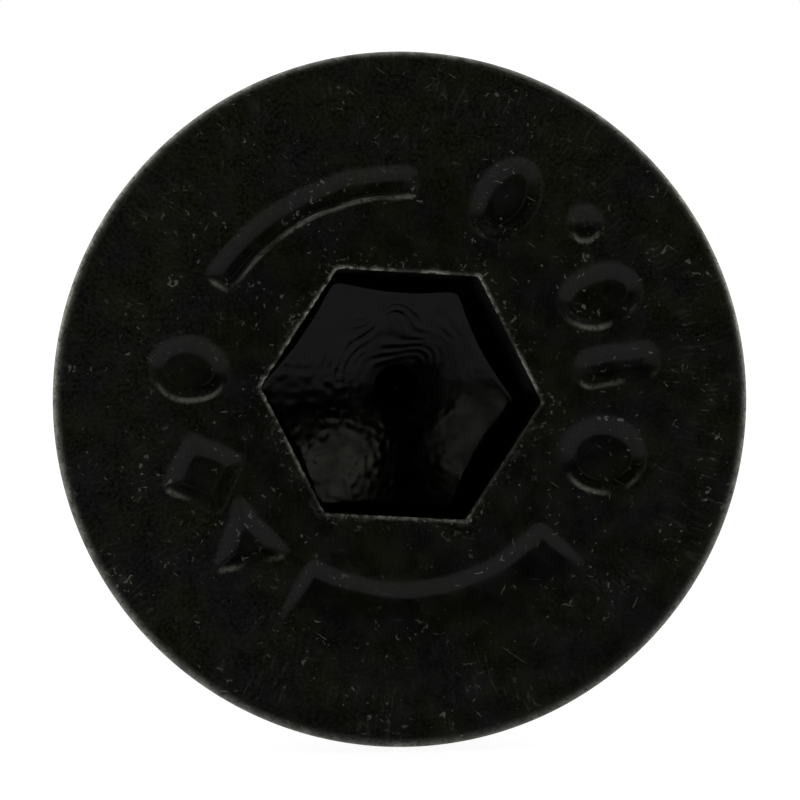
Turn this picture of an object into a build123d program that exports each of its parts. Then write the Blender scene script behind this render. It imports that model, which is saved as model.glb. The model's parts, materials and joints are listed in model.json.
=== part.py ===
from build123d import *

import math
import os

# A countersunk screw with a hexagon socket, M6 x 20, fully threaded. All sizes are in millimetres.
# The screw is modelled upright, with the middle of its flat face at (0, 0, 0), its axis along Z and
# its point downwards. It is laid on its side in one move at the end.

# Driving dimensions: the thread and the length
thread_size = 6.0
pitch = 1.0
screw_length = 20.0
crest_clearance = 0.03  # the crests stay this far under the nominal radius

# Driving dimensions: the head
head_diameter = 11.6
land_height = 0.5  # the short upright band under the flat face
face_edge_break = 0.12
cone_edge_break = 0.08
neck_turns = 2.0  # plain neck between cone and thread, in pitches
neck_break = 0.2

# Driving dimensions: the hexagon socket and the punch that makes it
socket_flats = 4.06
socket_wall = 2.4  # depth of the straight walls
socket_turn = -3.7  # the socket is punched a little off square to the marks
socket_place = (-0.03, 0.08)  # and a little off the middle of the face
socket_edge_break = 0.04
punch_corner_taper = 40.0
punch_corner_depth = 0.2
punch_cone_slope = 15.0
dimple_radius = 0.42
dimple_slope = 45.0

# Driving dimensions: the marks, plain hollows pressed into the face around the socket. A place on
# the face is a radius and an angle. A turn sets an outline's long way off the radius.
mark_depth = 0.14
mark_draft = 60.0
arc_grooves = [
    # radius where it starts, where its bottom starts and ends, where it ends, start angle, swept angle
    (3.40, 3.46, 3.63, 3.87, 86.0, 62.0),
    (3.07, 3.30, 3.42, 3.92, 239.5, 78.0),
]
ovals = [
    # radius, angle, turn, half length, half width
    (3.76, 62.0, -7.5, 0.74, 0.52),
    (3.73, 26.8, -8.8, 0.72, 0.52),
    (3.49, -16.5, 10.0, 0.72, 0.64),
    (3.59, 171.5, 0.0, 0.66, 0.54),
]
dot_place = (4.25, 43.2)
dot_radius = 0.31
bar_place = (3.64, 8.4)
bar_length = 1.44
bar_width = 0.64
bar_corner = 0.28
lozenge_place = (3.54, 199.7)
lozenge_side = 1.05
triangle_place = (3.5, 221.7)
triangle_radius = 0.8

# Sizes that follow: the head and the shank. The cone falls at 45 degrees, so it is as high as it is
# wide.
head_radius = head_diameter / 2
crest_radius = thread_size / 2 - crest_clearance
sharp_height = math.sqrt(3) / 2 * pitch
thread_depth = 0.8 * sharp_height
root_radius = crest_radius - thread_depth
neck_radius = thread_size / 2 - 3 / 8 * sharp_height  # a thread is rolled on a rod of this radius
cone_end = land_height + head_radius - neck_radius
neck_end = cone_end + neck_turns * pitch
point_chamfer = thread_depth + crest_clearance
thread_end = screw_length - point_chamfer

# The blank: flat face, short land, cone, neck, shank and chamfered point, turned as one profile
with BuildPart() as blank:
    with BuildSketch(Plane.XZ) as profile:
        with BuildLine():
            Polyline(
                (0, 0),
                (head_radius, 0),
                (head_radius, -land_height),
                (neck_radius, -cone_end),
                (neck_radius, -neck_end),
                (crest_radius, -neck_end - (crest_radius - neck_radius)),
                (crest_radius, -thread_end),
                (crest_radius - point_chamfer, -screw_length),
                (0, -screw_length),
                close=True,
            )
        make_face()
        for radius, height, size in [
            (head_radius, 0, face_edge_break),
            (head_radius, -land_height, cone_edge_break),
            (neck_radius, -cone_end, neck_break),
        ]:
            corner = profile.vertices().sort_by_distance((radius, height))[0]
            chamfer(corner, size)
    revolve(axis=Axis.Z)

# The punch: a hexagon with worn, tapered corners at its working end, which is ground to a shallow
# cone with a small point in the middle
flats_radius = socket_flats / 2
cone_rim_radius = flats_radius - punch_corner_depth * math.tan(math.radians(punch_corner_taper))
cone_rise = math.tan(math.radians(punch_cone_slope))
cone_apex = socket_wall + punch_corner_depth + cone_rim_radius * cone_rise
dimple_start = cone_apex - dimple_radius * cone_rise
dimple_apex = dimple_start + dimple_radius * math.tan(math.radians(dimple_slope))
with BuildPart() as punch:
    with BuildSketch(Plane.XY):
        RegularPolygon(flats_radius, side_count=6, major_radius=False, rotation=socket_turn)
    extrude(amount=-socket_wall)
    with BuildSketch(Plane.XY.offset(-socket_wall)):
        RegularPolygon(flats_radius, side_count=6, major_radius=False, rotation=socket_turn)
    extrude(amount=socket_wall - dimple_apex, taper=punch_corner_taper)
    with BuildSketch(Plane.XZ):
        with BuildLine():
            Polyline(
                (0, 0),
                (socket_flats, 0),
                (socket_flats, -cone_apex + socket_flats * cone_rise),
                (dimple_radius, -dimple_start),
                (0, -dimple_apex),
                close=True,
            )
        make_face()
    revolve(axis=Axis.Z, mode=Mode.INTERSECT)


def on_face(radius, angle, turn=0.0):
    """A place on the flat face, given by radius and angle, with its x axis pointing outwards."""
    return Location(Vector(radius, 0, 0).rotate(Axis.Z, angle), (0, 0, angle + turn))


# The marks: what the stamp fills. The grooves are turned from their sections, and the rest have
# sloping walls all round.
mark_run = mark_depth * math.tan(math.radians(mark_draft))
with BuildPart() as marks:
    for inner, inner_foot, outer_foot, outer, start, swept in arc_grooves:
        with BuildSketch(Plane.XZ.rotated((0, 0, start))):
            with BuildLine():
                Polyline(
                    (inner, 0),
                    (inner_foot, -mark_depth),
                    (outer_foot, -mark_depth),
                    (outer, 0),
                    close=True,
                )
            make_face()
        revolve(axis=Axis.Z, revolution_arc=swept)
    with BuildSketch(Plane.XY):
        with Locations(on_face(*dot_place)):
            Circle(dot_radius)
        with Locations(on_face(*bar_place)):
            RectangleRounded(bar_length, bar_width, bar_corner)
        with Locations(on_face(*lozenge_place)):
            Rectangle(lozenge_side, lozenge_side, rotation=45)
        with Locations(on_face(*triangle_place)):
            RegularPolygon(triangle_radius, side_count=3)
    extrude(amount=-mark_depth, taper=mark_draft)
    for radius, angle, turn, half_length, half_width in ovals:
        place = Plane(on_face(radius, angle, turn))
        with BuildSketch(place):
            Ellipse(half_length, half_width)
        with BuildSketch(place.offset(-mark_depth)):
            Ellipse(half_length - mark_run, half_width - mark_run)
        loft()

# The thread groove: a 60 degree profile swept once round. One turn serves all. The last turn, under
# the head, climbs out of the steel as it does on a rolled thread.
flank_slope = math.tan(math.radians(30))
crest_flat = pitch - 2 * thread_depth * flank_slope
groove_reach = thread_depth + crest_clearance
groove_mouth = groove_reach * flank_slope
run_out_angle = math.degrees(math.atan(thread_depth / pitch))


def groove_turn(climb_angle=0.0):
    """One turn of the groove. It rises by one pitch from z = 0 and widens by the climb angle."""
    with BuildPart() as turn:
        with BuildLine() as path:
            helix = Helix(pitch, pitch, root_radius, cone_angle=climb_angle)
        with BuildSketch(Plane(origin=helix @ 0, x_dir=(1, 0, 0), z_dir=(0, 1, 0))):
            with BuildLine():
                Polyline(
                    (0, 0),
                    (groove_reach, groove_mouth),
                    (groove_reach, -groove_mouth),
                    close=True,
                )
            make_face()
        sweep(path=path.line, is_frenet=True)
    return turn.solid()


full_turn = groove_turn()
run_out_turn = groove_turn(run_out_angle)

# The screw, upright. The groove starts below the point, at the height that leaves a whole crest at
# the end of the thread on the side the screw lies on.
groove_start = thread_end - crest_flat / 2 + pitch / 4 + pitch
turn_count = int((groove_start - neck_end) / pitch)
with BuildPart() as upright:
    add(blank.part)
    with Locations(socket_place):
        add(punch.part, mode=Mode.SUBTRACT)
    face_outlines = upright.faces().sort_by(Axis.Z)[-1].inner_wires()
    chamfer(face_outlines.edges(), socket_edge_break)
    add(marks.part, mode=Mode.SUBTRACT)
    for number in range(turn_count):
        with Locations((0, 0, number * pitch - groove_start)):
            add(full_turn, mode=Mode.SUBTRACT)
    with Locations((0, 0, turn_count * pitch - groove_start)):
        add(run_out_turn, mode=Mode.SUBTRACT)

# How it lies: on the lower edge of its land and on the last crest of its thread, with the flat face
# towards -Y. The origin is on the ground, under the middle of the screw.
land_end = land_height - cone_edge_break
rest_tilt = math.atan((head_radius - crest_radius) / (thread_end - land_end))
face_direction = (0, -math.cos(rest_tilt), math.sin(rest_tilt))
face_height = head_radius * math.cos(rest_tilt) + land_end * math.sin(rest_tilt)
lying = Plane(origin=(0, 0, face_height), x_dir=(1, 0, 0), z_dir=face_direction)
footprint = (lying.location * upright.part).bounding_box()
lying.origin -= (0, footprint.center().Y, 0)
with BuildPart(lying) as screw:
    add(upright.part)
screw.part.label = "screw"
os.makedirs("parts", exist_ok=True)
export_step(screw.part, "parts/screw.step")

print(f"lying {math.degrees(rest_tilt):.2f} degrees off level, middle of the face at {lying.origin}")
print(f"volume {screw.part.volume:.1f} mm3, thread of {turn_count} turns and its run-out")
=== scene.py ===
# %% [markdown]
# # A countersunk socket screw in blackened steel
# The screw is one piece of steel: cold-headed from wire, its hexagon socket punched and its face
# marked in the same blow, its thread rolled, then hardened and blackened in a hot salt bath and
# oiled. It lies on its side, as such a screw comes to rest, and is seen square on to its face.
#
# One piece could be dressed by giving the frame's own mesh a better material. That mesh has sharp,
# clean edges, and what makes this screw look used is at its edges: a worn and burred socket mouth,
# soft marks, a ripple left by the punch. So the whole skin is made again here, as one closed mesh
# of rings round the axis, with the same sizes, and it replaces the frame's mesh.

import json
import math

import bpy
import numpy as np
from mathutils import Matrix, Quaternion, Vector


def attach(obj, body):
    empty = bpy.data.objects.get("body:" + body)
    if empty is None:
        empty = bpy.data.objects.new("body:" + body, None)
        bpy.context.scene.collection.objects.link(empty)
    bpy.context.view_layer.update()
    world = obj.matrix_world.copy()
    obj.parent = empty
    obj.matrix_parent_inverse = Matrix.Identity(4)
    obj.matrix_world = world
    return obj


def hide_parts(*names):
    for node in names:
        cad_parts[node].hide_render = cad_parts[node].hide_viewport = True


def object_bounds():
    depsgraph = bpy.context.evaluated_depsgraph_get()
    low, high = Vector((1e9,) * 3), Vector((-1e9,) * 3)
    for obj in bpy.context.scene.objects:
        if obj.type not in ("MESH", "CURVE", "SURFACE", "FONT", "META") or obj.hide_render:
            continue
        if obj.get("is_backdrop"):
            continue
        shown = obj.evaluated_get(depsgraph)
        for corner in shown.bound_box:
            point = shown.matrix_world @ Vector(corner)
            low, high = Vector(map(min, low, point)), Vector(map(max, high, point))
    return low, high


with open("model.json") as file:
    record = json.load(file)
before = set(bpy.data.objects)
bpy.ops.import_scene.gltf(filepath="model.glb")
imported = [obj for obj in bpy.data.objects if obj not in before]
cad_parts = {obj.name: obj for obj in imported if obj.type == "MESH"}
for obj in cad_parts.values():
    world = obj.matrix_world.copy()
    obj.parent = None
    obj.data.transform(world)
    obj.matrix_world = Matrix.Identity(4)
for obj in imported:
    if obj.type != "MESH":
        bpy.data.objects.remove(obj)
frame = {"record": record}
cad_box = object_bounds()
mounts = {mount["name"]: mount for mount in frame["record"]["mounts"]}
print("the solid reaches from", cad_box[0], "to", cad_box[1])

# %% [markdown]
# ## The screw's own directions
# The screw leans: it lies on the edge of its head and on the last crest of its thread. Every shape
# below is worked out in millimetres on the screw's own face, with x to the right, y up the face and
# z out of it, and is laid on the ground in one last step. The middle of the face and the way that
# it looks come from the frame, as the place of the key's socket.

# %% Where the face is
MM = 0.001
face_middle = np.array(mounts["key_socket"]["pos_m"])
outwards = np.array(mounts["key_socket"]["axis"])
outwards = outwards / np.linalg.norm(outwards)
rightwards = np.array([1.0, 0.0, 0.0])
upwards = np.cross(outwards, rightwards)


def laid_down(points):
    """Millimetres on the face to metres on the ground: the middle of the face, plus x times
    rightwards, y times upwards and z times outwards."""
    turned = points @ np.stack([rightwards, upwards, outwards])
    return face_middle + turned * MM


lean = math.degrees(math.asin(outwards[2]))
print(f"the face looks {lean:.2f} degrees above level")

# %% [markdown]
# ## The sizes
# An M6 countersunk screw for a 4 mm key. These are the sizes of the solid in the frame, and the two
# have to agree: the head, the socket, the marks and the thread.

# %% Sizes in millimetres
HEAD_RADIUS = 5.8
LAND_HEIGHT = 0.5
NECK_RADIUS = 2.675
SCREW_LENGTH = 20.0
PITCH = 1.0
CREST_RADIUS = 2.97
THREAD_DEPTH = 0.8 * math.sqrt(3) / 2 * PITCH
POINT_CHAMFER = THREAD_DEPTH + 0.03
THREAD_END = SCREW_LENGTH - POINT_CHAMFER
SOCKET_APOTHEM = 2.03
SOCKET_WALL = 2.4
SOCKET_TURN = math.radians(-3.7)
SOCKET_X, SOCKET_Y = -0.03, 0.08
MARK_DEPTH = 0.14
MARK_RUN = MARK_DEPTH * math.tan(math.radians(60))
RIM_ROUND = 0.17
cone_end = LAND_HEIGHT + HEAD_RADIUS - NECK_RADIUS
neck_end = cone_end + 2 * PITCH
print(f"cone from {LAND_HEIGHT} to {cone_end:.2f} mm, thread to {THREAD_END:.2f} mm")

# %% [markdown]
# ## Rings
# The skin is a stack of rings. A ring is a closed row of points at equal angles, starting on a
# corner of the hexagon, so that the socket's corners always fall on points. The rings run from the
# bottom of the socket, up its wall, over the face, round the rim and down the cone, so the skin
# faces outwards if each square is taken along the stack first and round the axis second.
#
# The face needs 720 points a ring for its marks, the shank needs only 90. Where the number halves
# or doubles, a row of triangles joins the two rings point to point, and no gap is left.


# %% Angles, and joining rings
def angles(count):
    """`count` equal steps round the axis, from the first corner of the hexagon."""
    return SOCKET_TURN + np.arange(count) * (2 * math.pi / count)


FACE_POINTS, BOTTOM_POINTS, SHANK_POINTS = 720, 360, 90
print("a ring on the face has a point every", 360 / FACE_POINTS, "degrees")


# %% A skin of joined rings
class Skin:
    """Collects rings of points, and the squares and triangles that join them."""

    def __init__(self):
        self.points, self.squares, self.triangles = [], [], []
        self.size = 0
        self.last = None

    def add(self, points):
        """Adds points and returns their numbers, in the same order."""
        numbers = self.size + np.arange(len(points))
        self.points.append(np.asarray(points, dtype=float))
        self.size += len(points)
        return numbers

    def ring(self, points):
        """Adds a ring and joins it to the ring before it, of the same, half or double the count."""
        here = self.add(points)
        if self.last is not None:
            self.join(self.last, here)
        self.last = here

    def join(self, a, b):
        """Squares between two equal rings. Between a ring and one of twice as many points, three
        triangles for each step of the smaller ring."""
        a2, b2 = np.roll(a, -1), np.roll(b, -1)
        if len(a) == len(b):
            self.squares.append(np.stack([a, b, b2, a2], axis=1))
        elif len(b) == 2 * len(a):
            even, odd, after = b[0::2], b[1::2], np.roll(b, -2)[0::2]
            self.triangles += [np.stack([a, even, odd], 1), np.stack([a, odd, a2], 1)]
            self.triangles.append(np.stack([a2, odd, after], 1))
        else:
            even, odd, after = a[0::2], a[1::2], np.roll(a, -2)[0::2]
            self.triangles += [np.stack([even, b, odd], 1), np.stack([odd, b, b2], 1)]
            self.triangles.append(np.stack([odd, b2, after], 1))

    def rings(self, grid):
        """Adds each row of a (rows, points, 3) grid as a ring."""
        for row in grid:
            self.ring(row)


skin = Skin()
print("an empty skin:", skin.size, "points")

# %% [markdown]
# ## Unevenness
# No forged surface is even. A sum of many waves of about the same length, in random directions,
# gives a field of soft bumps and dips that is the same on each run. It drives the burr round the
# socket, the ripple on the socket's bottom and the wear.


# %% A field of soft bumps
def bumps(x, y, length, seed, count=40):
    """Between about -1 and 1: the mean of `count` cosine waves of wave length near `length`, each
    with its own random direction and start, scaled so that its usual height is about 0.5."""
    random = np.random.default_rng(seed)
    way = random.uniform(0, 2 * math.pi, count)
    step = 2 * math.pi / (length * random.uniform(0.7, 1.6, count))
    start = random.uniform(0, 2 * math.pi, count)
    total = np.zeros_like(x)
    for w, s, b in zip(way, step, start):
        total = total + np.cos(s * (x * math.cos(w) + y * math.sin(w)) + b)
    return total / math.sqrt(count / 2) / 1.4


def smooth_step(value, low, high):
    """0 below `low`, 1 above `high`, and an even S between them."""
    t = np.clip((value - low) / (high - low), 0, 1)
    return t * t * (3 - 2 * t)


print("usual height of the field:", np.std(bumps(np.linspace(0, 9, 99), np.zeros(99), 0.3, 1)))

# %% [markdown]
# ## The hexagon
# A punch leaves corners that are not quite sharp. The hexagon's edge at an angle is its apothem
# divided by the largest of the cosines towards its six sides. A high mean of the cosines in
# place of the largest one rounds the corners by a few hundredths.


# %% The hexagon's edge
def hexagon(angle, apothem):
    """Radius of the rounded hexagon at `angle`: the apothem over the 90th-power mean of the cosines
    towards the sides."""
    power = 90
    sides = SOCKET_TURN + math.radians(30) + np.arange(3) * math.radians(60)
    cosines = np.abs(np.cos(angle[..., None] - sides))
    return apothem / np.sum(cosines**power, axis=-1) ** (1 / power)


def polar(radius, angle, height):
    """Points at these radii, angles and heights, as (..., 3)."""
    radius, angle, height = np.broadcast_arrays(radius, angle, height)
    return np.stack([radius * np.cos(angle), radius * np.sin(angle), height], axis=-1)


corner_radius = float(hexagon(np.array([SOCKET_TURN]), SOCKET_APOTHEM)[0])
print(f"corners of the socket at {corner_radius:.3f} mm")

# %% [markdown]
# ## The bottom of the socket
# The punch ends in a low dome with a small point in the middle, ground by hand, so the point is a
# little off centre and the stone's marks run round it as ripples, deepest on one side. The lower
# half is roughened by scale. The corners of the punch are worn, and slope in just above its end.
#
# The bottom is a depth at each place in the hexagon: the less deep of the dome and of the slope at
# the walls, plus the pit of the point. A soft minimum rounds the places where they meet. The dome
# is a hyperbola: nearly flat in the middle, straight near the walls.

# %% Depth of the socket's bottom
POINT_X, POINT_Y = 0.15, 0.13
POINT_RADIUS = 0.42
DOME_RISE = math.tan(math.radians(19.5))
DOME_FLAT = 1.25
CORNER_RISE = 1 / math.tan(math.radians(40))
CORNER_DEPTH = 0.2
dome_rim = SOCKET_APOTHEM - CORNER_DEPTH / CORNER_RISE
dome_apex = SOCKET_WALL + CORNER_DEPTH + DOME_RISE * (math.hypot(dome_rim, DOME_FLAT) - DOME_FLAT)


def soft_least(a, b, softness):
    """The smaller of two heights, rounded where they cross: minus the log of the summed decays."""
    return -softness * np.logaddexp(-a / softness, -b / softness)


def bottom_depth(x, y):
    """Depth below the face at a place in the socket: the soft least of the dome and of the slope
    at the walls, plus the pit of the point, plus ripples and roughness. `reach` is how far out the
    place is towards the sides: a high mean of the reaches rounds the corners."""
    far = np.hypot(x - POINT_X, y - POINT_Y)
    sides = SOCKET_TURN + math.radians(30) + np.arange(6) * math.radians(60)
    towards = np.maximum(x[..., None] * np.cos(sides) + y[..., None] * np.sin(sides), 0)
    reach = np.sum(towards**32, axis=-1) ** (1 / 32)
    corner = SOCKET_WALL + (SOCKET_APOTHEM - reach) * CORNER_RISE
    dome = dome_apex - DOME_RISE * (np.hypot(far, DOME_FLAT) - DOME_FLAT)
    depth = soft_least(dome, corner, 0.012)
    pit = np.minimum(far - POINT_RADIUS, 0)
    angle = np.arctan2(y - POINT_Y, x - POINT_X)
    strength = 0.1 + 0.9 * smooth_step(np.cos(angle - math.radians(125)), -0.1, 0.75)
    band = smooth_step(far, 0.42, 0.6) * (1 - smooth_step(far, 1.35, 1.75))
    waves = np.sin(2 * math.pi * far / 0.165 + 4.5 * bumps(x, y, 0.9, 11, 16))
    patchy = np.clip(0.6 + 0.8 * bumps(x, y, 0.5, 12, 16), 0, 1)
    ripple = 0.0052 * strength * band * waves * patchy
    stony = 0.25 + 0.75 * smooth_step(np.cos(angle - math.radians(225)), 0.0, 0.6)
    rough = 0.0011 * bumps(x, y, 0.5, 13) + 0.0017 * stony * bumps(x, y, 0.2, 14)
    return depth - pit + ripple + rough * smooth_step(far, 0.3, 0.6)


print(f"the dome is {dome_apex:.2f} mm deep in the middle, without the point")

# %% [markdown]
# The rings start round the point and become hexagons on the way out. Four rings lie close by the
# edge of the pit, two on each side of it, so the edge stays crisp. Together they end on the wall.

# %% Rings of the socket's bottom
around = angles(BOTTOM_POINTS)
point_edge = POINT_RADIUS / SOCKET_APOTHEM
close_by = point_edge + np.array([-0.002, -0.0005, 0.0005, 0.002])
share = np.sort(np.append(np.linspace(0, 1, 57)[1:], close_by))[:, None]
corner_share = smooth_step(share, 0.45, 1.0)
wall_radius = hexagon(around, SOCKET_APOTHEM)
radius = share * ((1 - corner_share) * SOCKET_APOTHEM + corner_share * wall_radius)
bottom = polar(radius, around, 0.0)
off_centre = 1 - smooth_step(share, 0.25, 1.0)
bottom[..., 0] += POINT_X * off_centre
bottom[..., 1] += POINT_Y * off_centre
bottom[..., 2] = -bottom_depth(bottom[..., 0], bottom[..., 1])
bottom += [SOCKET_X, SOCKET_Y, 0]
point_depth = bottom_depth(np.array([POINT_X]), np.array([POINT_Y]))[0]
tip = skin.add([[POINT_X + SOCKET_X, POINT_Y + SOCKET_Y, -point_depth]])[0]
skin.ring(bottom[0])
first = skin.last
skin.triangles.append(np.stack([np.full(len(first), tip), first, np.roll(first, -1)], axis=1))
skin.rings(bottom[1:])
print(f"bottom of the socket: {len(bottom)} rings, deepest {point_depth:.2f} mm")

# %% [markdown]
# ## The wall and the mouth of the socket
# Keys have bruised the mouth: its edge is broken by a few hundredths, unevenly, the steel is bare
# there, and in places it is pushed up into a low burr. The break is a quarter circle whose size
# wanders round the mouth. The burr is a low hill just outside it. One more ring close under the
# break keeps its shading off the plain wall.

# %% Wall and mouth
MOUTH_BREAK, LEAST_BREAK, MOST_BREAK = 0.035, 0.012, 0.085
UNDER_BREAK = 0.04
BURR_WIDTH, BURR_HEIGHT = 0.07, 0.012
wall_share = np.linspace(0, 1, 7)[1:-1, None]
wall_foot = bottom[-1, :, 2]
wall_height = wall_foot * (1 - wall_share)
skin.rings(polar(wall_radius, around, wall_height) + [SOCKET_X, SOCKET_Y, 0])

around = angles(FACE_POINTS)
wall_radius = hexagon(around, SOCKET_APOTHEM)
edge = polar(wall_radius, around, 0.0)
uneven = bumps(edge[:, 0], edge[:, 1], 0.22, 21) + 0.6 * bumps(edge[:, 0], edge[:, 1], 0.09, 22)
chipped = np.clip(MOUTH_BREAK * (1 + 0.75 * uneven), LEAST_BREAK, MOST_BREAK)
skin.ring(polar(wall_radius, around, -chipped - UNDER_BREAK) + [SOCKET_X, SOCKET_Y, 0])
quarter = np.linspace(0, math.pi / 2, 6)[:, None]
mouth_out = chipped * (1 - np.cos(quarter))
mouth_down = chipped * (1 - np.sin(quarter))
mouth = polar(hexagon(around, SOCKET_APOTHEM + mouth_out), around, -mouth_down)
skin.rings(mouth + [SOCKET_X, SOCKET_Y, 0])
burr = BURR_HEIGHT * smooth_step(bumps(edge[:, 0], edge[:, 1], 0.4, 23), 0.0, 0.9)
hill = np.array([0.3, 0.7, 1.0])[:, None]
hill_out = chipped + BURR_WIDTH * hill
hill_up = burr * np.sin(hill * math.pi)
hill_rings = polar(hexagon(around, SOCKET_APOTHEM + hill_out), around, hill_up)
skin.rings(hill_rings + [SOCKET_X, SOCKET_Y, 0])
print(f"the mouth is broken by {chipped.min():.3f} to {chipped.max():.3f} mm")

# %% [markdown]
# ## The marks
# The stamp's marks are plain hollows with sloping sides: two curved grooves, and ovals, a dot,
# a bar, a lozenge and a triangle. Each is known by a distance: how far inside its outline a place
# on the face is. The depth follows from that distance, falling at 30 degrees from the outline to
# the flat bottom, and a soft clamp rounds the upper and the lower edge as a worn stamp does. The
# grooves are known by their section instead: a steep inner or outer side and a gentle one.
#
# The places are those of the solid in the frame.

# %% Distance inside an outline
def inside_box(x, y, half_x, half_y, corner):
    """Distance inside a box with rounded corners: half sizes less the corner, then the usual
    distance to a box, plus the corner."""
    gap_x, gap_y = np.abs(x) - half_x + corner, np.abs(y) - half_y + corner
    outside = np.hypot(np.maximum(gap_x, 0), np.maximum(gap_y, 0))
    return corner - outside - np.minimum(np.maximum(gap_x, gap_y), 0)


def inside_oval(x, y, half_x, half_y):
    """Distance inside an ellipse, near enough: its own equation over the length of its slope."""
    level = np.hypot(x / half_x, y / half_y) + 1e-9
    slope = np.hypot(x / half_x**2, y / half_y**2) / level + 1e-9
    return np.minimum((1 - level) / slope, min(half_x, half_y))


middle_of_bar = inside_box(np.array(0.0), np.array(0.0), 0.72, 0.32, 0.28)
print(f"the middle of the bar is {float(middle_of_bar):.2f} mm inside its outline")

# %% [markdown]
# From a distance to a depth: a straight fall and a flat bottom, with soft edges. A groove is the
# least of its four sides' depths, and a shape with straight sides has the least of its distances.


# %% Depth from a distance
def ramps(inside, run, softness=0.016):
    """Depth from a distance inside an outline: a straight fall over `run` to the full depth, with
    both edges rounded by a soft clamp."""
    rise = 2 * softness * np.logaddexp(0, inside / softness / 2)
    fall = softness * np.logaddexp(0, (inside - run) / softness)
    return (rise - fall) * MARK_DEPTH / run


def groove_depth(radius, angle, inner, inner_foot, outer_foot, outer, start, swept):
    """Depth of a curved groove: the least of its inner slope, its outer slope and its two steep
    ends."""
    middle, half = math.radians(start + swept / 2), math.radians(swept / 2)
    turned = np.abs((angle - middle + math.pi) % (2 * math.pi) - math.pi)
    slopes = [ramps(radius - inner, inner_foot - inner), ramps(outer - radius, outer - outer_foot)]
    slopes.append(ramps((half - turned) * (inner + outer) / 2, 0.18))
    return soft_least(soft_least(slopes[0], slopes[1], 0.004), slopes[2], 0.03)


def inside_sides(x, y, apothem, count, corner):
    """Distance inside a regular shape of `count` sides with a corner on its x axis. A soft least of
    the distances to the sides rounds its corners."""
    sides = math.pi / count + np.arange(count) * (2 * math.pi / count)
    gaps = [apothem - x * math.cos(side) - y * math.sin(side) for side in sides]
    least = gaps[0]
    for gap in gaps[1:]:
        least = soft_least(least, gap, corner)
    return least


print(f"well inside, a mark is {float(ramps(np.array(0.4), MARK_RUN)):.3f} mm deep")

# %% [markdown]
# All marks together. Their places and sizes, in millimetres and degrees, are those of the solid,
# and a slow wander of a hundredth keeps their outlines from looking drawn with a ruler.


# %% The marks in their places
def placed(x, y, radius, angle, turn=0.0):
    """x and y as seen from a place on the face given by radius and angle, with x outwards there."""
    way, side = math.radians(angle), math.radians(angle + turn)
    x, y = x - radius * math.cos(way), y - radius * math.sin(way)
    return x * math.cos(side) + y * math.sin(side), y * math.cos(side) - x * math.sin(side)


def marks_depth(radius, angle):
    """Depth of the marks at a place on the face: the deepest of the two grooves and of the ramps
    inside the other outlines."""
    x, y = radius * np.cos(angle), radius * np.sin(angle)
    inside = inside_box(*placed(x, y, 3.64, 8.4), 0.72, 0.32, 0.28)
    for r, a, turn, half_x, half_y in [
        (3.76, 62.0, -7.5, 0.74, 0.52),
        (3.73, 26.8, -8.8, 0.72, 0.52),
        (3.49, -16.5, 10.0, 0.72, 0.64),
        (3.59, 171.5, 0.0, 0.66, 0.54),
        (4.25, 43.2, 0.0, 0.31, 0.31),
    ]:
        inside = np.maximum(inside, inside_oval(*placed(x, y, r, a, turn), half_x, half_y))
    inside = np.maximum(inside, inside_sides(*placed(x, y, 3.54, 199.7), 1.05 / 2, 4, 0.05))
    inside = np.maximum(inside, inside_sides(*placed(x, y, 3.5, 221.7), 0.4, 3, 0.05))
    wander = 0.01 * bumps(x, y, 0.7, 31)
    depth = ramps(inside + wander, MARK_RUN)
    moved = radius + wander
    depth = np.maximum(depth, groove_depth(moved, angle, 3.40, 3.46, 3.63, 3.87, 86.0, 62.0))
    return np.maximum(depth, groove_depth(moved, angle, 3.07, 3.30, 3.40, 4.25, 239.5, 78.0))


print(f"the bar is {marks_depth(np.array([3.64]), np.radians([8.4]))[0]:.3f} mm deep")

# %% [markdown]
# ## The face
# From the mouth the rings change from hexagons to circles, cross the band of marks in steps of a
# few hundredths of a millimetre, and run on to the rim. The face itself rolls a little, as a
# forged one does.

# %% Rings of the face
MARKS_START, MARKS_END = 2.86, 4.66


def face_height(radius, angle):
    """Height of the face: a slow roll of a few thousandths, less the depth of the marks."""
    x, y = radius * np.cos(angle), radius * np.sin(angle)
    roll = 0.004 * bumps(x, y, 3.0, 41) + 0.0012 * bumps(x, y, 0.7, 42) - 0.006
    calm = 1 - smooth_step(radius, HEAD_RADIUS - 0.5, HEAD_RADIUS - RIM_ROUND)
    near = smooth_step(radius, 2.3, 2.9)
    return roll * calm * near - marks_depth(radius, angle)


blend = np.linspace(0, 1, 9)[1:, None, None]
inner = hill_rings[-1] + [SOCKET_X, SOCKET_Y, 0]
flat = inner + (polar(MARKS_START, around, 0.0) - inner) * blend
flat_x, flat_y = flat[..., 0], flat[..., 1]
flat[..., 2] = face_height(np.hypot(flat_x, flat_y), np.arctan2(flat_y, flat_x))
skin.rings(flat)
radius = np.linspace(MARKS_START, MARKS_END, 52)[1:, None]
skin.rings(polar(radius, around, face_height(radius, around)))
radius = np.linspace(MARKS_END, HEAD_RADIUS - RIM_ROUND, 9)[1:, None]
skin.rings(polar(radius, around, face_height(radius, around)))
print(f"{len(skin.points)} rings from the bottom of the socket to the rim")

# %% [markdown]
# ## Rim, cone and neck
# The rim is rounded by the die, a short upright land follows, and then the cone that seats in the
# countersink, at 45 degrees. Under it the plain neck has the width of the rod that the thread was
# rolled on. All of it is a profile turned round the axis.

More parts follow.
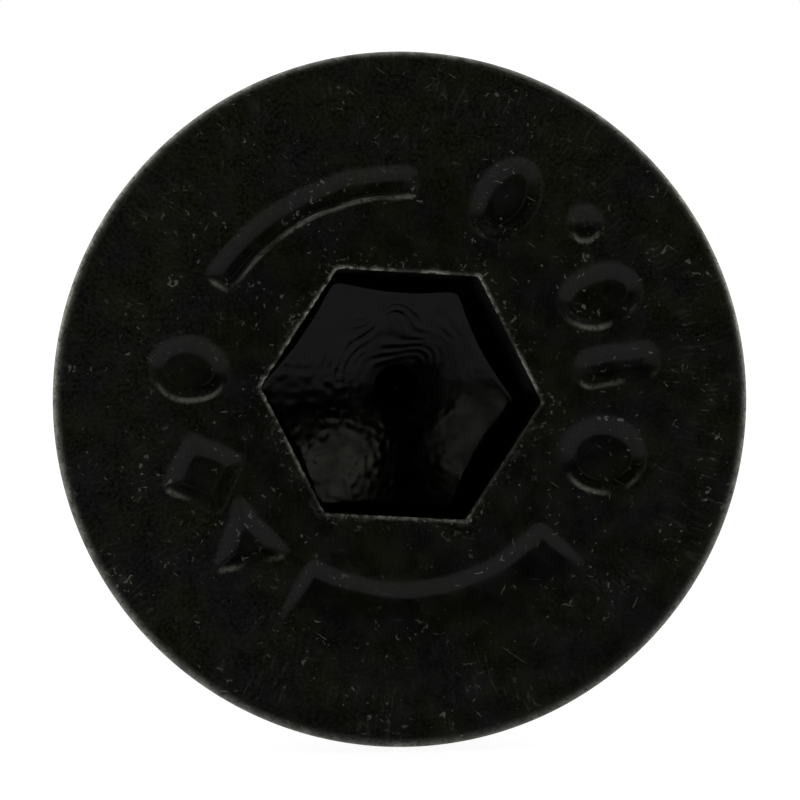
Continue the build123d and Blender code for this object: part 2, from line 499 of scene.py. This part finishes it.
# %% Turned profile
turn = np.linspace(0, math.pi / 2, 8)[1:]
rim_profile = np.stack(
    [HEAD_RADIUS - RIM_ROUND * (1 - np.sin(turn)), -RIM_ROUND * (1 - np.cos(turn))], axis=1
)
skin.rings(polar(rim_profile[:, :1], around, rim_profile[:, 1:]))
around = angles(FACE_POINTS // 2)
skin.ring(polar(HEAD_RADIUS, around, -RIM_ROUND - 0.06))
around = angles(FACE_POINTS // 4)
cone_profile = [
    (HEAD_RADIUS, -LAND_HEIGHT + 0.1),
    (HEAD_RADIUS - 0.004, -LAND_HEIGHT + 0.06),
    (HEAD_RADIUS - 0.022, -LAND_HEIGHT + 0.01),
    (HEAD_RADIUS - 0.065, -LAND_HEIGHT - 0.062),
    (HEAD_RADIUS - 0.12, -LAND_HEIGHT - 0.12),
    (5.0, -LAND_HEIGHT - (HEAD_RADIUS - 5.0)),
    (4.0, -LAND_HEIGHT - (HEAD_RADIUS - 4.0)),
    (3.2, -LAND_HEIGHT - (HEAD_RADIUS - 3.2)),
    (NECK_RADIUS + 0.14, -cone_end + 0.14),
    (NECK_RADIUS + 0.06, -cone_end + 0.04),
    (NECK_RADIUS + 0.015, -cone_end - 0.06),
    (NECK_RADIUS, -cone_end - 0.2),
]
for profile_radius, profile_height in cone_profile:
    skin.ring(polar(profile_radius, around, profile_height))
print(f"{len(skin.points)} rings down to the neck")

# %% [markdown]
# ## The thread
# A rolled thread is one groove that climbs round the rod. Its radius at any place depends only on
# the height measured along the helix, so a skin whose rows follow the helix needs no more than nine
# rows a pitch to keep its crests and roots crisp. Towards the head the groove climbs out of the
# steel, and at the point a 45 degree chamfer cuts the crests off.
#
# The groove's start is the solid's: it leaves a whole crest where the screw touches the ground.

# %% Radius of the thread
ROOT_ROUND = 0.08
FLANK = math.tan(math.radians(30))
crest_flat = PITCH - 2 * THREAD_DEPTH * FLANK
root_height = -(THREAD_END - crest_flat / 2 + PITCH / 4 + PITCH)


def thread_radius(angle, height):
    """Radius of the shank at a place. The distance along the axis to the nearest root gives the
    flank, which is a hyperbola round the root. The crest and the chamfer cut it off, and it fades
    into the plain neck."""
    along = (height - root_height) / PITCH - angle / (2 * math.pi)
    distance = np.abs((along + 0.5) % 1.0 - 0.5) * PITCH
    groove = CREST_RADIUS - THREAD_DEPTH + np.hypot(distance / FLANK, ROOT_ROUND)
    groove = soft_least(groove, np.full_like(groove, CREST_RADIUS), 0.008)
    body = smooth_step(-height, neck_end - 0.1, neck_end + 0.3)
    body = NECK_RADIUS + (CREST_RADIUS - NECK_RADIUS) * body
    radius = body + (groove - body) * smooth_step(-height, neck_end, neck_end + 1.1)
    chamfer = CREST_RADIUS + height + THREAD_END
    return soft_least(radius, chamfer, 0.01)


def shank(angle, height):
    """Points of the shank at these angles and heights."""
    return polar(thread_radius(angle, height), angle, height)


print(f"crests {crest_flat:.2f} mm wide, the groove starts {-root_height:.2f} mm down")

# %% [markdown]
# Where a row has gone once round, it meets the row one pitch further on, so the skin of the thread
# is a ribbon wound on itself. Its two ends are steps: there the side of one row faces the sides of
# a whole pitch of rows, and a fan of triangles closes the gap. The seam is turned towards the
# ground. Between the ribbon and the plain rings, a few rings share out the slant.
#
# Three of a pitch's nine rows lie close by each edge of the crest, so the light tone of its worn
# steel stays on the crest and the sides of the groove stay dark and straight.

# %% The ribbon and its ends
SEAM = 60
steps = np.arange(SHANK_POINTS + 1) * (2 * math.pi / SHANK_POINTS)
seam_angles = angles(SHANK_POINTS)[SEAM] - 2 * math.pi + steps
crest_edge = (PITCH - crest_flat) / 2
shape_rows = [crest_edge + 0.02, crest_edge - 0.02, 0.34, 0.10, 0, -0.10, -0.34]
shape_rows += [0.02 - crest_edge, -0.02 - crest_edge]
a_pitch = len(shape_rows)
levels = (np.arange(30, -1, -1)[:, None] * PITCH + np.array(shape_rows)).ravel()
heights = root_height + levels[:, None] + PITCH * seam_angles / (2 * math.pi)
kept = (heights[:, -1] < 0.15 - neck_end) & (heights[:, 0] > 0.03 - SCREW_LENGTH)
heights = heights[kept][:, :SHANK_POINTS]
seam_angles = seam_angles[:SHANK_POINTS]

neck_ring = -neck_end + 0.35
around = seam_angles
skin.last = np.roll(skin.last, -2 * SEAM)
skin.ring(shank(around, np.full(SHANK_POINTS, neck_ring)))
for share in (0.25, 0.5, 0.75):
    skin.ring(shank(around, neck_ring + (heights[0] - neck_ring) * share))
above = skin.last
ribbon = skin.add(shank(around, heights).reshape(-1, 3)).reshape(heights.shape)
below = skin.add(shank(around, heights[-1] + (-SCREW_LENGTH - heights[-1]) * 0.15))


def cells(upper, lower):
    """Squares between two rows of points that don't close on themselves."""
    return np.stack([upper[:-1], lower[:-1], lower[1:], upper[1:]], axis=-1).reshape(-1, 4)


skin.squares.append(cells(above, ribbon[0]))
for upper, lower in zip(ribbon[:-1], ribbon[1:]):
    skin.squares.append(cells(upper, lower))
skin.squares.append(cells(ribbon[-1], below))
left, right = ribbon[a_pitch:, -1], ribbon[:-a_pitch, 0]
skin.squares.append(np.stack([left[:-1], left[1:], right[1:], right[:-1]], axis=1))
fan = ribbon[: a_pitch + 1, -1]
skin.triangles.append(np.stack([fan[:-1], fan[1:], np.full(a_pitch, ribbon[0, 0])], axis=1))
skin.triangles.append([[above[-1], ribbon[0, -1], ribbon[0, 0]]])
skin.triangles.append([[above[-1], ribbon[0, 0], above[0]]])
fan = ribbon[-a_pitch - 1 :, 0]
skin.triangles.append(np.stack([np.full(a_pitch, ribbon[-1, -1]), fan[1:], fan[:-1]], axis=1))
skin.triangles.append([[ribbon[-1, -1], below[-1], below[0]]])
skin.triangles.append([[ribbon[-1, -1], below[0], ribbon[-1, 0]]])
print(f"ribbon of {len(heights)} rows, {heights[0, 0]:.2f} to {heights[-1, 0]:.2f} mm")

# %% [markdown]
# The point is turned with a 45 degree chamfer and a flat end, hollowed by a few hundredths where
# the wire was sheared. The thread's radius already holds the chamfer, so the rings only follow it.

# %% The point
skin.last = below
for share in (0.3, 0.45, 0.6, 0.7, 0.8, 0.9, 0.97):
    skin.ring(shank(around, heights[-1] + (-SCREW_LENGTH - heights[-1]) * share))
end_radius = CREST_RADIUS - POINT_CHAMFER
skin.ring(polar(end_radius - 0.01, around, -SCREW_LENGTH + 0.004))
for radius, dish in [(end_radius - 0.06, 0.0), (end_radius * 0.8, 0.015), (end_radius * 0.4, 0.03)]:
    skin.ring(polar(radius, around, -SCREW_LENGTH + dish))
last = skin.last
middle = skin.add([[0, 0, -SCREW_LENGTH + 0.035]])[0]
skin.triangles.append(np.stack([last, np.full(len(last), middle), np.roll(last, -1)], axis=1))
print(f"{skin.size} points")

# %% [markdown]
# ## One mesh
# The points are laid on the ground and given to Blender as whole arrays. Each point also keeps its
# own place on the screw in millimetres, and how worn the steel is there together with the painted
# glints and rim highlight, for the finish to use.

# %% The skin as a mesh
points = np.concatenate(skin.points)
squares = np.concatenate(skin.squares)
triangles = np.concatenate([np.asarray(t) for t in skin.triangles])
mesh = bpy.data.meshes.new("skin")
corners = np.concatenate([squares.ravel(), triangles.ravel()])
sides = np.concatenate([np.full(len(squares), 4), np.full(len(triangles), 3)])
mesh.vertices.add(len(points))
mesh.vertices.foreach_set("co", laid_down(points).ravel())
mesh.loops.add(len(corners))
mesh.loops.foreach_set("vertex_index", corners.astype(np.int32))
mesh.polygons.add(len(sides))
mesh.polygons.foreach_set("loop_start", (np.cumsum(sides) - sides).astype(np.int32))
mesh.polygons.foreach_set("use_smooth", np.ones(len(sides), dtype=bool))
mesh.update(calc_edges=True)
mesh.validate()
skin_piece = bpy.data.objects.new("blackened_skin", mesh)
bpy.context.scene.collection.objects.link(skin_piece)
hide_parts("screw")
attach(skin_piece, "root")
print(f"{len(points)} points, {2 * len(squares) + len(triangles)} triangles")

# %% [markdown]
# ## Wear, and painted highlights
# The steel is bare where keys and the bin have rubbed it: along the mouth of the socket, round the
# rim and on the crests of the thread. Bare steel is also laid on the low edges of the marks, whose
# slopes face the windows above, as a painted glint, and round the rim it is partly a painted
# highlight of the white surroundings. The low edges are those where the ground is deeper a little
# further up the face. Each is a band of distances, times a field of bumps that leaves it patchy.

# %% Wear along the mouth
MOUTH_LINE, MOUTH_SCUFFS = 0.052, 0.35
x, y, z = points.T
radius, angle = np.hypot(x, y), np.arctan2(y, x)
hex_sides = SOCKET_TURN + math.radians(30) + np.arange(6) * math.radians(60)
reach_x, reach_y = x[:, None] - SOCKET_X, y[:, None] - SOCKET_Y
reach = np.max(reach_x * np.cos(hex_sides) + reach_y * np.sin(hex_sides), axis=1)
from_mouth = np.hypot(reach - SOCKET_APOTHEM - 0.02, np.minimum(z + 0.01, 0))
patchy = 0.3 + 0.5 * bumps(x, y, 0.16, 51) + 0.6 * bumps(x, y, 0.9, 52)
line = 1 - smooth_step(from_mouth, 0.0, MOUTH_LINE)
mouth_wear = line * np.clip(patchy, 0.12, 1)
near_mouth = (1 - smooth_step(from_mouth, 0.02, MOUTH_SCUFFS)) * smooth_step(z, -0.03, -0.01)
print(f"worn along the mouth at {np.mean(mouth_wear > 0.3):.1%} of the points")

# %% Painted glints on the marks, wear and a painted highlight on the rim, wear on the thread
UPHILL = 0.02
RIM_BAND = 0.14
on_marks = (radius > MARKS_START) & (radius < MARKS_END) & (z > -0.3)
depth_here = marks_depth(radius, angle)
depth_above = marks_depth(np.hypot(x, y + UPHILL), np.arctan2(y + UPHILL, x))
# Only the low lips, whose slopes face the windows above, are made bare: a painted glint.
low_side = smooth_step((depth_above - depth_here) / UPHILL, 0.18, 0.4)
lip = smooth_step(depth_here, 0.0, 0.010) * (1 - smooth_step(depth_here, 0.018, 0.048))
mark_lip_glints = on_marks * low_side * lip * np.clip(0.4 + 0.8 * bumps(x, y, 0.9, 55), 0, 0.9)
# The bare band round the rim is partly wear and partly a painted highlight of the white surroundings
# mirrored in the rounded rim; it is lighter at the left and right than at the top and bottom.
from_rim = np.clip((radius - HEAD_RADIUS) / RIM_BAND + 1, 0, 1)
rubbed = 0.75 + 0.2 * bumps(x, y, 0.3, 53) + 0.3 * (x**2 - y**2) / HEAD_RADIUS**2
rim_wear_and_highlight = from_rim**1.2 * smooth_step(z, -0.34, -0.12) * rubbed
thread_wear = smooth_step(radius, CREST_RADIUS - 0.06, CREST_RADIUS) * (z < -neck_end) * 0.35
# Wear, together with the painted glints on the marks and the painted highlight on the rim.
wear_and_highlights = np.clip(mouth_wear + mark_lip_glints + thread_wear + rim_wear_and_highlight, 0, 1)
print(f"worn at {np.mean(wear_and_highlights > 0.3):.1%} of the points")

# %% What the finish reads
place = mesh.attributes.new("place", "FLOAT_VECTOR", "POINT")
place.data.foreach_set("vector", points.ravel().astype(np.float32))
for name, values in [("wear_and_highlights", wear_and_highlights), ("near_mouth", near_mouth)]:
    attribute = mesh.attributes.new(name, "FLOAT", "POINT")
    attribute.data.foreach_set("value", values.astype(np.float32))
print("the mesh offers:", [a.name for a in mesh.attributes if a.name[0] != "."])

# %% [markdown]
# ## The finish
# Black oxide is a thin dark film on steel, and oil makes it darker still. It reflects little, so a
# dark metal would be wrong: it is a near-black surface with a weak, slightly blurred shine. What
# the eye finds on it is unevenness: an olive and grey mottle, streaks that the die drew outwards,
# fine grain, scratches, and specks where the film is gone.
#
# Each of these is a noise on the screw's own millimetres. The streaks read a direction and a radius
# instead: noise that changes quickly round the axis and slowly outwards is drawn out into lines.


# %% Helpers for nodes
class Nodes:
    """Adds nodes to one tree. A method takes plain values or outputs, and returns an output."""

    def __init__(self, tree):
        self.tree = tree

    def add(self, kind):
        return self.tree.nodes.new("ShaderNode" + kind)

    def put(self, socket, value):
        """Links an output to a socket, or sets the socket to a plain value."""
        if isinstance(value, bpy.types.NodeSocket):
            self.tree.links.new(value, socket)
        else:
            socket.default_value = value

    def attribute(self, name, output):
        node = self.add("Attribute")
        node.attribute_name = name
        return node.outputs[output]

    def math(self, operation, *values):
        node = self.add("Math")
        node.operation = operation
        for socket, value in zip(node.inputs, values):
            self.put(socket, value)
        return node.outputs[0]

    def vector(self, operation, *values, output=0):
        node = self.add("VectorMath")
        node.operation = operation
        for socket, value in zip(node.inputs, values):
            self.put(socket, value)
        return node.outputs[output]

    def noise(self, vector, scale, detail=2.0, rough=0.5, twist=0.0):
        node = self.add("TexNoise")
        self.put(node.inputs["Vector"], vector)
        for name, value in [("Scale", scale), ("Detail", detail), ("Roughness", rough)]:
            node.inputs[name].default_value = value
        node.inputs["Distortion"].default_value = twist
        return node.outputs["Fac"]

    def spread(self, value, low, high, to_low=0.0, to_high=1.0):
        """Maps low..high to to_low..to_high, smoothly and clamped."""
        node = self.add("MapRange")
        node.interpolation_type = "SMOOTHSTEP"
        names = ["Value", "From Min", "From Max", "To Min", "To Max"]
        for name, number in zip(names, [value, low, high, to_low, to_high]):
            self.put(node.inputs[name], number)
        return node.outputs["Result"]

    def mix(self, share, first, second):
        """A colour between two, by share."""
        node = self.add("Mix")
        node.data_type = "RGBA"
        self.put(node.inputs["Factor"], share)
        self.put(node.inputs["A"], first)
        self.put(node.inputs["B"], second)
        return node.outputs["Result"]


print("helpers:", [name for name in vars(Nodes) if name[0] != "_"])

# %% [markdown]
# Every finish starts from one shader. The steel's reads what the mesh keeps at each point: its
# place on the screw, and its wear together with the painted glints and rim highlight. From the place
# come the distance and direction from the axis.


# %% The start of a finish
class Finish(Nodes):
    """The nodes of one new material."""

    def __init__(self, name):
        self.material = bpy.data.materials.new(name)
        self.material.use_nodes = True
        super().__init__(self.material.node_tree)
        self.shader = self.tree.nodes["Principled BSDF"]


def shade(red, green, blue):
    """A colour for a node."""
    return (red, green, blue, 1.0)


steel = Finish("oiled_black_oxide")
on_screw = steel.attribute("place", "Vector")
wear_and_highlights_here = steel.attribute("wear_and_highlights", "Fac")
flat_place = steel.vector("MULTIPLY", on_screw, (1, 1, 0))
from_axis = steel.vector("LENGTH", flat_place, output=1)
direction = steel.vector("NORMALIZE", flat_place)
print(f"start of the finish: {len(steel.tree.nodes)} nodes")

# %% [markdown]
# The streaks: the direction from the axis times 75, with the radius times 3 along the third way,
# gives lines well under a tenth of a millimetre wide and a few tenths long, strongest near the rim.

# %% Streaks, mottle, grain and specks
def drawn_out(turns, along):
    """A place for noise that is drawn out into radial lines: the direction from the axis times
    `turns`, with the radius times `along` as the third way."""
    long_way = steel.add("CombineXYZ")
    steel.put(long_way.inputs["Z"], steel.math("MULTIPLY", from_axis, along))
    round_way = steel.vector("MULTIPLY", direction, (turns, turns, 0))
    return steel.vector("ADD", round_way, long_way.outputs[0])


def scratches(turn, seed):
    """Short straight scratches all one way: noise on a place turned by `turn` and squeezed
    lengthwise, so that each of its peaks is a thin dash."""
    turned = steel.add("VectorRotate")
    turned.rotation_type = "Z_AXIS"
    turned.inputs["Angle"].default_value = math.radians(turn)
    steel.put(turned.inputs["Vector"], on_screw)
    squeezed = steel.vector("MULTIPLY_ADD", turned.outputs[0], (2.2, 26.0, 0.0), (seed, 0, seed))
    return steel.spread(steel.noise(squeezed, 1.0, 1.0, 0.4), 0.77, 0.82)


streaks = steel.noise(drawn_out(75.0, 3.0), 1.0, 2.0, 0.5)
near_rim = steel.spread(from_axis, 3.4, 5.4)
mottle = steel.noise(on_screw, 0.9, 3.0, 0.55)
cloud = steel.noise(on_screw, 2.2, 2.0, 0.5)
grain = steel.noise(on_screw, 15.0, 3.0, 0.75)
patches = steel.noise(on_screw, 1.1, 2.0, 0.6)
clusters = steel.spread(patches, 0.38, 0.66)
specks = steel.noise(on_screw, 8.0, 2.0, 0.6, 0.8)
specks = steel.math("MULTIPLY_ADD", clusters, 0.07, specks)
print(f"noises for the finish: {len(steel.tree.nodes)} nodes so far")

# %% [markdown]
# The colour is built up in layers: the film, olive in some places and grey in others; dust and the
# drawn streaks on it; scratches and specks; and bare steel where it is worn, which on the low lips
# of the marks is also a painted glint and round the rim also a painted highlight. The marks hold no
# dust, because nothing rubs there, and are darker. Inside the socket the colour is near black.

# %% Colours
DARK_OLIVE, LIGHT_OLIVE = shade(0.0060, 0.0068, 0.0018), shade(0.0146, 0.0164, 0.0060)
DARK_GREY, LIGHT_GREY = shade(0.0062, 0.0062, 0.0066), shade(0.0128, 0.0126, 0.0130)
OLIVE_DUST, GREY_DUST = shade(0.0250, 0.0268, 0.0135), shade(0.0235, 0.0235, 0.0230)
STREAK, SCRATCH = shade(0.052, 0.054, 0.041), shade(0.2, 0.2, 0.165)
SOCKET_BLACK, BARE_STEEL = shade(0.0012, 0.0012, 0.0012), shade(0.5, 0.49, 0.42)
print(f"bare steel is {BARE_STEEL[0] / LIGHT_GREY[0]:.0f} times as light as the lightest film")

# %% Film and dust
height_here = steel.add("SeparateXYZ")
steel.put(height_here.inputs[0], on_screw)
height_on_face, above_face = height_here.outputs["Y"], height_here.outputs["Z"]
deep = steel.spread(above_face, -0.22, -0.3)
deep = steel.math("MULTIPLY", deep, steel.spread(above_face, -3.7, -3.6))
in_socket = steel.math("MULTIPLY", deep, steel.spread(from_axis, 2.55, 2.45))
lighter = steel.spread(cloud, 0.2, 0.8)
olive = steel.mix(lighter, DARK_OLIVE, LIGHT_OLIVE)
grey = steel.mix(lighter, DARK_GREY, LIGHT_GREY)
less_olive = steel.math("MULTIPLY_ADD", height_on_face, -0.003, mottle)
grey_share = steel.spread(less_olive, 0.37, 0.65)
film = steel.mix(grey_share, olive, grey)
across = steel.vector("DOT_PRODUCT", on_screw, (-0.8, 0.6, 0.0), output=1)
dust_colour = steel.mix(grey_share, OLIVE_DUST, GREY_DUST)
thicker = steel.spread(across, -6.0, 6.0, 0.5, 1.6)
thicker = steel.math("MULTIPLY", thicker, steel.spread(from_axis, 2.6, 4.8, 0.45, 1.25))
dust = steel.math("MULTIPLY", steel.spread(grain, 0.38, 0.7), thicker)
in_marks = steel.math(
    "MULTIPLY", steel.spread(above_face, -0.04, -0.11), steel.spread(above_face, -0.3, -0.2)
)
dust = steel.math("MULTIPLY", dust, steel.math("SUBTRACT", 1.0, in_marks))
dusty = steel.mix(dust, film, dust_colour)
print(f"film and dust: {len(steel.tree.nodes)} nodes")

# %% Streaks and scratches
patchy_streaks = steel.math("MULTIPLY", steel.spread(streaks, 0.52, 0.78), near_rim)
patchy_streaks = steel.math("MULTIPLY", patchy_streaks, clusters)
streaked = steel.mix(patchy_streaks, dusty, STREAK)
loose = steel.math("MAXIMUM", scratches(35.0, 1.7), scratches(-62.0, 5.1))
loose = steel.math("MAXIMUM", loose, steel.math("MULTIPLY", scratches(5.0, 9.3), clusters))
loose = steel.math("MAXIMUM", loose, steel.spread(specks, 0.69, 0.75))
sparse = steel.spread(steel.noise(on_screw, 0.8, 1.0, 0.5), 0.4, 0.6, 0.25, 1.0)
speckled = steel.mix(steel.math("MULTIPLY", loose, sparse), streaked, SCRATCH)
# Deep in the socket the colour is near black.
clean = steel.mix(in_socket, speckled, SOCKET_BLACK)
print(f"streaks and scratches: {len(steel.tree.nodes)} nodes")

# %% Bare steel, its painted glints and highlight, and shine
# Bare steel where the mesh holds wear; on the marks' low lips and round the rim it also paints glints and a
# highlight.
bare = steel.math("MULTIPLY", wear_and_highlights_here, steel.spread(grain, 0.25, 0.55))
scuffs = steel.spread(steel.noise(on_screw, 11.0, 2.0, 0.6, 0.6), 0.6, 0.68)
scuffs = steel.math("MULTIPLY", scuffs, steel.attribute("near_mouth", "Fac"))
scuffs = steel.math("MULTIPLY", scuffs, steel.spread(patches, 0.4, 0.6, 0.1, 0.7))
bare = steel.math("MAXIMUM", bare, scuffs)
colour = steel.mix(bare, clean, BARE_STEEL)
steel.put(steel.shader.inputs["Base Color"], colour)
steel.put(steel.shader.inputs["Metallic"], steel.math("MULTIPLY", bare, 0.8))
steel.shader.inputs["IOR"].default_value = 1.33
rough = steel.spread(cloud, 0.3, 0.7, 0.22, 0.34)
rough = steel.math("ADD", rough, steel.math("MULTIPLY", bare, 0.12))
rough = steel.math("MULTIPLY_ADD", in_socket, -0.1, rough)
steel.put(steel.shader.inputs["Roughness"], rough)
print(f"colour and shine: {len(steel.tree.nodes)} nodes")

# %% [markdown]
# The grain, the clouds and the streaks also raise the surface, by about a hundredth of a
# millimetre. Inside the socket the relief is weak, because the ripples there are real shape.

# %% Relief
RELIEF_HEIGHT = 0.012
relief = steel.math("MULTIPLY", grain, 0.25)
relief = steel.math("ADD", relief, steel.math("MULTIPLY", cloud, 0.9))
relief = steel.math("ADD", relief, steel.math("MULTIPLY", patchy_streaks, 0.25))
bump = steel.add("Bump")
bump.inputs["Distance"].default_value = RELIEF_HEIGHT * MM
steel.put(bump.inputs["Strength"], steel.math("MULTIPLY_ADD", in_socket, -0.75, 1.0))
steel.put(bump.inputs["Height"], relief)
steel.put(steel.shader.inputs["Normal"], bump.outputs["Normal"])
mesh.materials.append(steel.material)
print(f"finish with {len(steel.tree.nodes)} nodes")

# %% [markdown]
# ## Floor, light and camera
# A small dark screw is shot on a white sweep. The light that shapes it comes from the floor and the
# sides, while straight ahead, where the camera stands, it is dark: so the face stays black and only
# slopes that look down or out catch the light. The floor looks white to the camera. To the screw it
# glows softly, except straight ahead.

# %% Floor
REACH = 0.6
DARK_WITHIN, OPEN_BEYOND = math.cos(math.radians(15.2)), math.cos(math.radians(24.5))
floor_mesh = bpy.data.meshes.new("floor")
floor_corners = [(-REACH, -REACH, 0), (REACH, -REACH, 0), (REACH, REACH, 0), (-REACH, REACH, 0)]
floor_mesh.from_pydata(floor_corners, [], [(0, 1, 2, 3)])
floor = bpy.data.objects.new("floor", floor_mesh)
bpy.context.scene.collection.objects.link(floor)
floor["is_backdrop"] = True
paper = Finish("white_paper")
paper.shader.inputs["Base Color"].default_value = shade(0.35, 0.35, 0.35)
paper.shader.inputs["Roughness"].default_value = 0.9
paper.shader.inputs["Specular IOR Level"].default_value = 0.0
ray = paper.add("NewGeometry")
ahead = paper.vector("DOT_PRODUCT", ray.outputs["Incoming"], tuple(-outwards), output=1)
glow, bounce = paper.add("Emission"), paper.add("Emission")
glow.inputs["Color"].default_value = shade(0.93, 0.93, 0.93)
bounce.inputs["Color"].default_value = shade(0.42, 0.425, 0.44)
paper.put(bounce.inputs["Strength"], paper.spread(ahead, DARK_WITHIN, OPEN_BEYOND))
white = paper.add("AddShader")
paper.put(white.inputs[0], paper.shader.outputs[0])
paper.put(white.inputs[1], glow.outputs[0])
choice = paper.add("MixShader")
paper.put(choice.inputs[0], paper.add("LightPath").outputs["Is Camera Ray"])
paper.put(choice.inputs[1], bounce.outputs[0])
paper.put(choice.inputs[2], white.outputs[0])
paper.put(paper.tree.nodes["Material Output"].inputs["Surface"], choice.outputs[0])
floor_mesh.materials.append(paper.material)
print(f"floor {2 * REACH:.1f} m wide, {len(paper.tree.nodes)} nodes in its finish")

# %% [markdown]
# The surroundings are white behind the screw, and in front only a low band glows, open to the
# sides. The camera sees them white everywhere.

# %% Surroundings
world = bpy.data.worlds.new("studio")
bpy.context.scene.world = world
world.use_nodes = True
sky = Nodes(world.node_tree)
looking = sky.add("TexCoord").outputs["Generated"]
parts = sky.add("SeparateXYZ")
sky.put(parts.inputs[0], looking)
behind = sky.spread(parts.outputs["Y"], -0.25, 0.05, 0.0, 0.95)
low_band = sky.spread(parts.outputs["Z"], 0.14, 0.06, 0.0, 0.42)
straight = sky.vector("DOT_PRODUCT", looking, tuple(outwards), output=1)
open_sides = sky.spread(straight, math.cos(math.radians(13.5)), math.cos(math.radians(21.5)))
low_sides = sky.math("MULTIPLY", low_band, open_sides)
glowing = sky.math("MAXIMUM", behind, low_sides)
seen = sky.math("MAXIMUM", glowing, sky.add("LightPath").outputs["Is Camera Ray"])
backdrop = sky.tree.nodes["Background"]
backdrop.inputs["Color"].default_value = shade(1, 1, 1)
sky.put(backdrop.inputs["Strength"], seen)
print(f"surroundings with {len(sky.tree.nodes)} nodes")

# %% [markdown]
# Two weak greenish windows high in front, one on each side, are mirrored by the lower half of the
# socket's bottom as two patches, and draw thin lines on the low edges of the marks.

# %% Windows
WINDOW_DISTANCE = 0.2


def window(name, azimuth, elevation, roll, width, height, power, tint):
    """A soft light aimed at the face. The azimuth is from straight in front, to the right, and a
    positive roll leans its top to the left."""
    way = Vector(
        (
            math.sin(math.radians(azimuth)) * math.cos(math.radians(elevation)),
            -math.cos(math.radians(azimuth)) * math.cos(math.radians(elevation)),
            math.sin(math.radians(elevation)),
        )
    )
    light = bpy.data.lights.new(name, "AREA")
    light.shape, light.size, light.size_y = "RECTANGLE", width, height
    light.energy, light.color = power, tint
    lamp = bpy.data.objects.new(name, light)
    lamp.location = Vector(face_middle) + way * WINDOW_DISTANCE
    rolled = way.to_track_quat("Z", "Y") @ Quaternion((0, 0, 1), math.radians(roll))
    lamp.rotation_euler = rolled.to_euler()
    lamp.visible_camera = False
    bpy.context.scene.collection.objects.link(lamp)


window("left_window", -20.4, 23.5, -21.7, 0.028, 0.094, 0.0050, (0.93, 1.0, 0.8))
window("right_window", 26.6, 29.2, 46.6, 0.032, 0.068, 0.0060, (0.97, 1.0, 0.84))
print(f"two windows, {WINDOW_DISTANCE * 1000:.0f} mm from the face")

# %% [markdown]
# The camera looks at the face from half a hand's breadth away, a little to the left of square, so
# the right-hand walls of the socket show more than the left-hand ones.

# %% Camera
CAMERA_DISTANCE = 45.0
CAMERA_SIDE = math.radians(4.4)
VIEW_WIDTH = 13.29
AIM_LEFT, AIM_DOWN = 0.06, 0.013
camera_data = bpy.data.cameras.new("camera")
camera_data.sensor_width = 36.0
camera_data.lens = camera_data.sensor_width * CAMERA_DISTANCE / VIEW_WIDTH
camera_data.clip_start, camera_data.clip_end = 0.001, 10.0
camera = bpy.data.objects.new("camera", camera_data)
sight = outwards * math.cos(CAMERA_SIDE) - rightwards * math.sin(CAMERA_SIDE)
aim = face_middle - rightwards * AIM_LEFT * MM - upwards * AIM_DOWN * MM
camera.location = Vector(aim + sight * CAMERA_DISTANCE * MM)
camera.rotation_euler = Vector(sight).to_track_quat("Z", "Y").to_euler()
bpy.context.scene.collection.objects.link(camera)
bpy.context.scene.camera = camera
bpy.context.scene.view_settings.view_transform = "Standard"
bpy.context.scene.view_settings.look = "None"
print(f"lens {camera_data.lens:.0f} mm, camera at {tuple(round(v, 4) for v in camera.location)}")

# %% [markdown]
# ## Sizes, and the end
# The skin has to stay inside the solid's box. Both boxes are printed.

# %% The two boxes
low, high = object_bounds()
boxes = {"cad": [list(map(float, c)) for c in cad_box], "visual": [list(map(float, c)) for c in (low, high)]}
for name, (lowest, highest) in boxes.items():
    print(name, [round(v * 1000, 3) for v in lowest], [round(v * 1000, 3) for v in highest])
